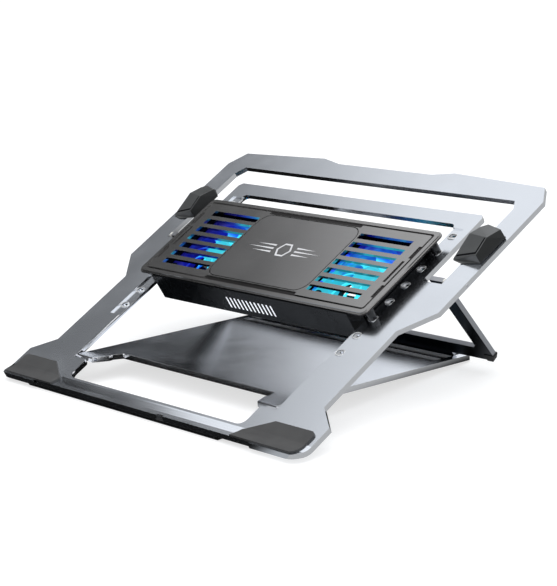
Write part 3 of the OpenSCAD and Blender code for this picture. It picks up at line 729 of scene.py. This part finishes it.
def painted_led_glow(name, side, dark, light, roughness, gain, reach=1.0, flatten=1.0, depth=0.004 * mm, **plain):
    """Plastic with the LED light from inside the module painted on as a glow; gain is its strength."""
    finish, tree, shader = principled(name, Emission_Strength=gain, **plain)
    where = add(tree, "ShaderNodeTexCoord").outputs["Object"]
    offset = Vector((*glow_centre[side], -2.0)) * mm
    centre = fan_centre[side] + turned.to_3x3() @ offset
    from_fan = add(tree, "ShaderNodeMapping",
                   {"Vector": where, "Location": centre, "Rotation": (deck_tilt, 0, 0),
                    "Scale": (1, 1, flatten)}, vector_type="TEXTURE")
    glow = placed(tree, glow_group, {"Vector": from_fan.outputs[0], "Reach": glow_reach[side] * reach})
    tree.links.new(glow["Light"], shader.inputs["Emission Color"])
    skin = placed(tree, skin_group, {"Vector": where, "Cell size": 0.8})
    two_tones(tree, shader, skin["Dust"], dark, light)
    tree.links.new(spread(tree, skin["Dust"], 0.0, 1.0, roughness * 0.9, roughness * 1.1),
                   shader.inputs["Roughness"])
    bumped(tree, shader, skin["Height"], depth)
    return finish


def blade_ring_tree(finish):
    """Geometry Nodes: one twisted, swept blade, thickened and repeated round the hub."""
    tree, given, out = new_growth("ring of fan blades", {
        "Root radius": 8.9 * mm, "Tip radius": 22.0 * mm, "Width": 0.66, "Sweep": 0.42,
        "Rise": 6.4 * mm, "Camber": 1.3 * mm, "Thickness": 0.55 * mm, "Blades": 9,
    })
    sheet = add(tree, "GeometryNodeMeshGrid",
                {"Size X": 1.0, "Size Y": 1.0, "Vertices X": 9, "Vertices Y": 9})
    position = add(tree, "GeometryNodeInputPosition").outputs[0]
    place = add(tree, "ShaderNodeSeparateXYZ", {0: position}).outputs
    along = sum_of(tree, place[0], 0.5)
    reach = sum_of(tree, given["Tip radius"], given["Root radius"], "SUBTRACT")
    radius = sum_of(tree, given["Root radius"], sum_of(tree, along, reach, "MULTIPLY"))
    swept = sum_of(tree, sum_of(tree, along, 1.6, "POWER"), given["Sweep"], "MULTIPLY")
    turn = sum_of(tree, swept, sum_of(tree, place[1], given["Width"], "MULTIPLY"))
    bulge = sum_of(tree, 0.25, sum_of(tree, place[1], place[1], "MULTIPLY"), "SUBTRACT")
    lift = sum_of(tree, sum_of(tree, place[1], given["Rise"], "MULTIPLY"),
                  sum_of(tree, bulge, given["Camber"], "MULTIPLY"))
    east = sum_of(tree, radius, sum_of(tree, turn, 0.0, "COSINE"), "MULTIPLY")
    north = sum_of(tree, radius, sum_of(tree, turn, 0.0, "SINE"), "MULTIPLY")
    bent = add(tree, "ShaderNodeCombineXYZ", {0: east, 1: north, 2: lift})
    upper = add(tree, "GeometryNodeSetPosition", {"Geometry": sheet.outputs[0], "Position": bent.outputs[0]})
    thick = add(tree, "GeometryNodeExtrudeMesh",
                {"Mesh": upper.outputs[0], "Offset Scale": given["Thickness"], "Individual": False})
    under = add(tree, "GeometryNodeFlipFaces", {"Mesh": upper.outputs[0]})
    both = add(tree, "GeometryNodeJoinGeometry")
    tree.links.new(thick.outputs[0], both.inputs[0])
    tree.links.new(under.outputs[0], both.inputs[0])
    blade = add(tree, "GeometryNodeMergeByDistance", {"Geometry": both.outputs[0], "Distance": 0.002 * mm})
    ring = add(tree, "GeometryNodePoints", {"Count": given["Blades"]})
    step = sum_of(tree, 2 * math.pi, given["Blades"], "DIVIDE")
    angle = sum_of(tree, add(tree, "GeometryNodeInputIndex").outputs[0], step, "MULTIPLY")
    facing = add(tree, "ShaderNodeCombineXYZ", {2: angle})
    blades = add(tree, "GeometryNodeInstanceOnPoints",
                 {"Points": ring.outputs[0], "Instance": blade.outputs[0], "Rotation": facing.outputs[0]})
    real = add(tree, "GeometryNodeRealizeInstances", {"Geometry": blades.outputs[0]})
    dressed = add(tree, "GeometryNodeSetMaterial", {"Geometry": real.outputs[0], "Material": finish})
    tree.links.new(dressed.outputs[0], out.inputs[0])
    return tree


def turned_piece(name, outline, finish, place, steps=48):
    """A piece turned on a lathe: outline is (radius, height) in millimetres, from axis to axis."""
    shape = bmesh.new()
    ring = [shape.verts.new((r * mm, 0, h * mm)) for r, h in outline]
    edges = [shape.edges.new(pair) for pair in zip(ring, ring[1:])]
    bmesh.ops.spin(shape, geom=ring + edges, cent=(0, 0, 0), axis=(0, 0, 1), angle=2 * math.pi, steps=steps)
    bmesh.ops.remove_doubles(shape, verts=shape.verts, dist=0.001 * mm)
    bmesh.ops.recalc_face_normals(shape, faces=shape.faces)
    for face in shape.faces:
        face.smooth = True
    for edge in shape.edges:
        edge.smooth = len(edge.link_faces) == 2 and edge.calc_face_angle() < math.radians(35)
    mesh = bpy.data.meshes.new(name)
    shape.to_mesh(mesh)
    shape.free()
    mesh.transform(place)
    mesh.materials.append(finish)
    piece = bpy.data.objects.new(name, mesh)
    bpy.context.scene.collection.objects.link(piece)
    return piece


hub_outline = [(8.05, -6.0), (9.25, -6.0), (9.25, 0.1), (8.9, 0.8), (8.1, 1.15), (6.2, 1.2), (5.8, 1.05),
               (0.0, 1.05), (0.0, 0.0), (8.05, 0.0), (8.05, -6.0)]
for side in ("left", "right"):
    at_fan = Matrix.Translation(fan_centre[side]) @ turned
    # The LED light on blade, hub and frame is painted on as emission.
    blade_blue = painted_led_glow(f"blade_blue_{side}", side, (0.01, 0.05, 0.12), (0.02, 0.08, 0.18), 0.25, 1.12)
    blades = grown(f"impeller_blades_{side}", blade_ring_tree(blade_blue),
                   at_fan @ Matrix.Translation((0, 0, -2.7 * mm)))
    for face in blades.data.polygons:
        face.use_smooth = True
    shown(blades, f"fan_{side}", "blade_blue", f"impeller_{side}")
    hub_blue = painted_led_glow(f"hub_blue_{side}", side, (0.004, 0.012, 0.03), (0.008, 0.02, 0.05), 0.2, 0.75)
    hub = turned_piece(f"impeller_hub_{side}", hub_outline, hub_blue, at_fan)
    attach(hub, f"fan_{side}")
    frame_black = painted_led_glow(f"fan_frame_black_{side}", side, (0.006, 0.007, 0.009), (0.011, 0.012, 0.015),
                              0.4, 0.65, reach=1.15, flatten=0.6)
    casing = dressed_copy(f"fan_frame_{side}", f"fan_casing_{side}", frame_black, 0.25 * mm)
    shown(casing, "deck", "fan_black", f"fan_frame_{side}")

# ---------------------------------------------------------------------------
# Tray. A glossy black moulded tub under the cover that holds both fans, with
# blue LED light painted inside. White light guides stand in the twelve slits of its front wall.
# ---------------------------------------------------------------------------
def gloss_black(name, **plain):
    finish, tree, shader = principled(name, **plain)
    where = add(tree, "ShaderNodeTexCoord").outputs["Object"]
    skin = placed(tree, skin_group, {"Vector": where, "Cell size": 1.4})
    marks = placed(tree, marks_group, {"Vector": where, "Patch size": 18.0})
    two_tones(tree, shader, skin["Dust"], (0.0030, 0.0036, 0.0045), (0.0055, 0.0065, 0.0075))
    tree.links.new(spread(tree, marks["Mask"], 0.0, 1.0, 0.20, 0.30), shader.inputs["Roughness"])
    tree.links.new(spread(tree, marks["Mask"], 0.0, 1.0, 0.07, 0.03), shader.inputs["Coat Weight"])
    bumped(tree, shader, skin["Height"], 0.003 * mm)
    return finish


def inside_faces(piece, half_width, front, back, lowest, slots):
    """Gives the faces inside a tub their own slots, left and right of its middle."""
    for face in piece.data.polygons:
        centre, facing = off_deck @ face.center, turned.inverted() @ face.normal
        inside = abs(centre.x) < half_width and front < centre.y < back and centre.z > lowest
        if inside and (facing.z > -0.5):
            face.material_index = slots[0] if centre.x < 0 else slots[1]


tray_black = gloss_black("tray_gloss_black", Specular_IOR_Level=0.12, Coat_Roughness=0.10)
tray = welded_copy("fan_tray", "module_tray")
cut_in_two = bmesh.new()
cut_in_two.from_mesh(tray.data)
bmesh.ops.bisect_plane(cut_in_two, geom=cut_in_two.verts[:] + cut_in_two.edges[:] + cut_in_two.faces[:],
                       plane_co=deck_origin, plane_no=(1, 0, 0))
cut_in_two.to_mesh(tray.data)
cut_in_two.free()
tray.data.materials.append(tray_black)
# Its inside faces take a painted blue LED glow, one finish for each fan.
for side in ("left", "right"):
    tray.data.materials.append(
        painted_led_glow(f"tray_inside_{side}", side, (0.004, 0.005, 0.007), (0.007, 0.008, 0.011), 0.35, 0.8,
                    reach=1.3)
    )
inside_faces(tray, 92.6, 101.6, 170.6, -9.6 * mm, slots=(1, 2))
eased(tray, 0.35 * mm, segments=3)
shown(tray, "deck", "tray_black", "fan_tray")


def glowing(name, colour, strength):
    """Frosted light guide: milky plastic whose glow varies in a fine cloud."""
    finish, tree, shader = principled(name, Roughness=0.4, Emission_Strength=strength)
    where = add(tree, "ShaderNodeTexCoord").outputs["Object"]
    cloud = add(tree, "ShaderNodeTexNoise", {"Vector": where, "Scale": 500.0, "Detail": 2.0}).outputs["Fac"]
    two_tones(tree, shader, cloud, [c * 0.85 for c in colour], colour)
    warm = spread(tree, cloud, 0.3, 0.7, 0.82, 1.0)
    tone = add(tree, "ShaderNodeVectorMath", {0: colour}, operation="SCALE")
    tree.links.new(warm, tone.inputs["Scale"])
    tree.links.new(tone.outputs[0], shader.inputs["Emission Color"])
    bumped(tree, shader, cloud, 0.01 * mm)
    return finish


slit_white = glowing("slit_light_guide", (0.93, 0.95, 1.0), 0.75)
slits = dressed_copy("light_slits", "front_light_guides", slit_white, 0.15 * mm)
shown(slits, "deck", "slit_light", "light_slits")

# ---------------------------------------------------------------------------
# Motors. Copper windings on a stator stand inside each hub, round a bronze
# bushing in which the impeller's steel shaft turns. All are pressed together.
# ---------------------------------------------------------------------------
def wound_copper():
    """Enamelled wire: fine turns round the stator, seen as ridges across its height."""
    finish, tree, shader = principled("wound_copper", Metallic=1.0)
    where = add(tree, "ShaderNodeTexCoord").outputs["Object"]
    upright = add(tree, "ShaderNodeMapping", {"Vector": where, "Rotation": (-deck_tilt, 0, 0)})
    turns = add(tree, "ShaderNodeTexWave", {"Vector": upright.outputs[0], "Scale": 420.0, "Distortion": 0.4},
                bands_direction="Z").outputs["Fac"]
    marks = placed(tree, marks_group, {"Vector": where, "Patch size": 6.0})
    two_tones(tree, shader, turns, (0.32, 0.10, 0.035), (0.72, 0.31, 0.13))
    tree.links.new(spread(tree, marks["Mask"], 0.0, 1.0, 0.28, 0.42), shader.inputs["Roughness"])
    bumped(tree, shader, turns, 0.06 * mm)
    return finish


copper = wound_copper()
bronze = sheet_metal("sintered_bronze", (0.62, 0.40, 0.17), roughness=0.42, grain=0.18, streaks=0.0,
                     depth=0.004 * mm, spread_by=0.12)
for side in ("left", "right"):
    stator = dressed_copy(f"motor_{side}", f"motor_windings_{side}", copper, 0.4 * mm, segments=3)
    shown(stator, "deck", "winding", f"motor_{side}")
    bushing = dressed_copy(f"bearing_{side}", f"shaft_bushing_{side}", bronze, 0.15 * mm)
    shown(bushing, "deck", "bronze", f"bearing_{side}")
    shaft = dressed_copy(f"shaft_{side}", f"impeller_shaft_{side}", turned_steel, 0.12 * mm)
    shown(shaft, f"fan_{side}", "steel", f"shaft_{side}")

# ---------------------------------------------------------------------------
# Boards. A green control board by the back wall feeds the fans and two narrow
# LED boards. The socket is folded from plated steel; its cord is not included.
# ---------------------------------------------------------------------------
def circuit_board(name, trace_size=1.6):
    """Green solder mask over etched tracks, which stand a little proud of the laminate."""
    finish, tree, shader = principled(name)
    where = add(tree, "ShaderNodeTexCoord").outputs["Object"]
    tracks = add(tree, "ShaderNodeTexBrick",
                 {"Vector": where, "Scale": 1000.0 / (4 * trace_size), "Mortar Size": 0.10, "Bias": -0.2}
                 ).outputs["Fac"]
    marks = placed(tree, marks_group, {"Vector": where, "Patch size": 9.0})
    two_tones(tree, shader, tracks, (0.006, 0.055, 0.022), (0.018, 0.115, 0.045))
    tree.links.new(spread(tree, marks["Mask"], 0.0, 1.0, 0.24, 0.38), shader.inputs["Roughness"])
    bumped(tree, shader, tracks, 0.03 * mm)
    return finish


def faces_above(piece, height, slot):
    """Gives the faces that stand higher above the deck than height their own slot."""
    for face in piece.data.polygons:
        if (off_deck @ face.center).z > height:
            face.material_index = slot


board_green = circuit_board("solder_mask_green")
chip_black = moulded("chip_epoxy", (0.010, 0.010, 0.011), (0.018, 0.018, 0.019), 0.45, cell=0.2)
can_metal = sheet_metal("capacitor_sleeve", (0.58, 0.60, 0.63), roughness=0.25, grain=0.15)
board = welded_copy("control_board", "main_board")
for finish in (board_green, chip_black, can_metal):
    board.data.materials.append(finish)
board_top = -6.15 * mm
faces_above(board, board_top, slot=1)
for face in board.data.polygons:
    if face.material_index == 1 and (off_deck @ face.center).y > 157.5 * mm:
        face.material_index = 2
eased(board, 0.12 * mm)
shown(board, "deck", "board_green", "control_board")
led_lens = glowing("led_lens", (0.03, 0.10, 0.85), 1.0)
for side in ("left", "right"):
    # The LED light on the LED boards' solder mask is painted on as a glow.
    glow_painted_mask = painted_led_glow(f"solder_mask_painted_glow_{side}", side, (0.003, 0.012, 0.02), (0.006, 0.022, 0.03),
                           0.3, 0.8, reach=1.25, flatten=0.5)
    strip_board = welded_copy(f"led_board_{side}", f"led_strip_{side}")
    strip_board.data.materials.append(glow_painted_mask)
    strip_board.data.materials.append(led_lens)
    faces_above(strip_board, 1.25 * mm, slot=1)
    eased(strip_board, 0.12 * mm)
    shown(strip_board, "deck", "board_green", f"led_board_{side}")
plated_steel = sheet_metal("plated_socket_steel", (0.72, 0.74, 0.77), roughness=0.18, grain=0.2, streaks=0.8)
socket_shell = dressed_copy("usb_socket", "power_inlet", plated_steel, 0.12 * mm)
shown(socket_shell, "deck", "socket_metal", "usb_socket")

# ---------------------------------------------------------------------------
# Fasteners. Black standoffs carry the cover's edge over the ledges. Pan-head
# screws with a cross recess hold the module, the cover and both fans.
# ---------------------------------------------------------------------------
standoff_black = gloss_black("standoff_black", Specular_IOR_Level=0.5, Coat_Roughness=0.15)
posts = dressed_copy("standoffs", "cover_standoffs", standoff_black, 0.3 * mm)
shown(posts, "deck", "tray_black", "standoffs")


def screw_tree(finish):
    """Geometry Nodes: one pan-head screw with a cross recess, set on each point of the given mesh."""
    tree, given, out = new_growth("pan-head screws", {
        "Points": None, "Head radius": 2.2 * mm, "Head height": 1.2 * mm, "Shank radius": 1.1 * mm,
        "Shank length": 15.0 * mm, "Recess": 0.55 * mm, "Tilt": 0.0,
    })
    crown = sum_of(tree, given["Head radius"], 0.66, "MULTIPLY")
    head = add(tree, "GeometryNodeMeshCone",
               {"Vertices": 32, "Side Segments": 3, "Fill Segments": 1, "Radius Top": crown,
                "Radius Bottom": given["Head radius"], "Depth": given["Head height"]})
    position = add(tree, "GeometryNodeInputPosition").outputs[0]
    place = add(tree, "ShaderNodeSeparateXYZ", {0: position}).outputs
    part = sum_of(tree, place[2], given["Head height"], "DIVIDE")
    rest = sum_of(tree, 1.0, part, "SUBTRACT")
    swell = sum_of(tree, sum_of(tree, part, rest, "MULTIPLY"), 0.55, "MULTIPLY")
    fuller = sum_of(tree, 1.0, swell)
    full = add(tree, "ShaderNodeCombineXYZ", {0: fuller, 1: fuller, 2: 1.0})
    moved = add(tree, "ShaderNodeVectorMath", {0: position, 1: full.outputs[0]}, operation="MULTIPLY")
    domed = add(tree, "GeometryNodeSetPosition", {"Geometry": head.outputs[0], "Position": moved.outputs[0]})
    long_arm = sum_of(tree, given["Head radius"], 1.15, "MULTIPLY")
    short_arm = sum_of(tree, given["Head radius"], 0.26, "MULTIPLY")
    twice = sum_of(tree, given["Recess"], 2.0, "MULTIPLY")
    top = add(tree, "ShaderNodeCombineXYZ", {2: given["Head height"]}).outputs[0]
    arms = []
    for wide, deep in ((long_arm, short_arm), (short_arm, long_arm)):
        bar = add(tree, "GeometryNodeMeshCube",
                  {"Size": add(tree, "ShaderNodeCombineXYZ", {0: wide, 1: deep, 2: twice}).outputs[0]})
        arms.append(add(tree, "GeometryNodeTransform", {"Geometry": bar.outputs[0], "Translation": top}))
    recessed = add(tree, "GeometryNodeMeshBoolean", operation="DIFFERENCE", solver="EXACT")
    tree.links.new(domed.outputs[0], recessed.inputs["Mesh 1"])
    for arm in arms:
        tree.links.new(arm.outputs[0], recessed.inputs["Mesh 2"])
    shank = add(tree, "GeometryNodeMeshCylinder",
                {"Vertices": 20, "Radius": given["Shank radius"], "Depth": given["Shank length"]})
    half_way = sum_of(tree, given["Shank length"], -0.5, "MULTIPLY")
    hung = add(tree, "GeometryNodeTransform",
               {"Geometry": shank.outputs[0],
                "Translation": add(tree, "ShaderNodeCombineXYZ", {2: half_way}).outputs[0]})
    screw = add(tree, "GeometryNodeJoinGeometry")
    tree.links.new(recessed.outputs[0], screw.inputs[0])
    tree.links.new(hung.outputs[0], screw.inputs[0])
    facing = add(tree, "ShaderNodeCombineXYZ", {0: given["Tilt"], 2: 0.5})
    screws = add(tree, "GeometryNodeInstanceOnPoints",
                 {"Points": given["Points"], "Instance": screw.outputs[0], "Rotation": facing.outputs[0]})
    real = add(tree, "GeometryNodeRealizeInstances", {"Geometry": screws.outputs[0]})
    dressed = add(tree, "GeometryNodeSetMaterial", {"Geometry": real.outputs[0], "Material": finish})
    tree.links.new(dressed.outputs[0], out.inputs[0])
    return tree


def screw_set(name, node, finish, points, **sizes):
    """One piece for a set of screws; points are in millimetres above the deck, at each head's seat."""
    seats = bpy.data.meshes.new(name)
    seats.from_pydata([[c * mm for c in point] for point in points], [], [])
    piece = grown(name, screw_tree(finish), on_deck, points=seats, **sizes)
    shown(piece, "deck", "steel", node)


zinc_plated = sheet_metal("zinc_plated_screw", (0.66, 0.67, 0.69), roughness=0.26, grain=0.2, streaks=0.6)
black_zinc = sheet_metal("black_zinc_screw", (0.03, 0.04, 0.07), roughness=0.3, grain=0.2)
upside_down = {"Tilt": math.pi}
screw_set("module_screw_set", "module_screws", zinc_plated,
          [(x, y, -3.0) for x in (-99.6, 99.6) for y in (107.6, 165.2)],
          **{"Head radius": 2.8 * mm, "Head height": 1.6 * mm, "Shank radius": 1.25 * mm,
             "Shank length": 6.4 * mm, "Recess": 0.8 * mm}, **upside_down)
screw_set("cover_screw_set", "cover_screws", zinc_plated,
          [(x, y, -9.6) for x in (-36.0, 36.0) for y in (105.4, 166.6)],
          **{"Recess": 0.6 * mm}, **upside_down)
fan_x, fan_y, corner, frame_top = 67.75, 136.2, 20.5, 1.8
screw_set("fan_screw_set", "fan_screws", black_zinc,
          [(x + c, fan_y + c, frame_top) for x in (-fan_x, fan_x) for c in (-corner, corner)],
          **{"Head radius": 2.5 * mm, "Shank radius": 1.3 * mm, "Shank length": 12.0 * mm})
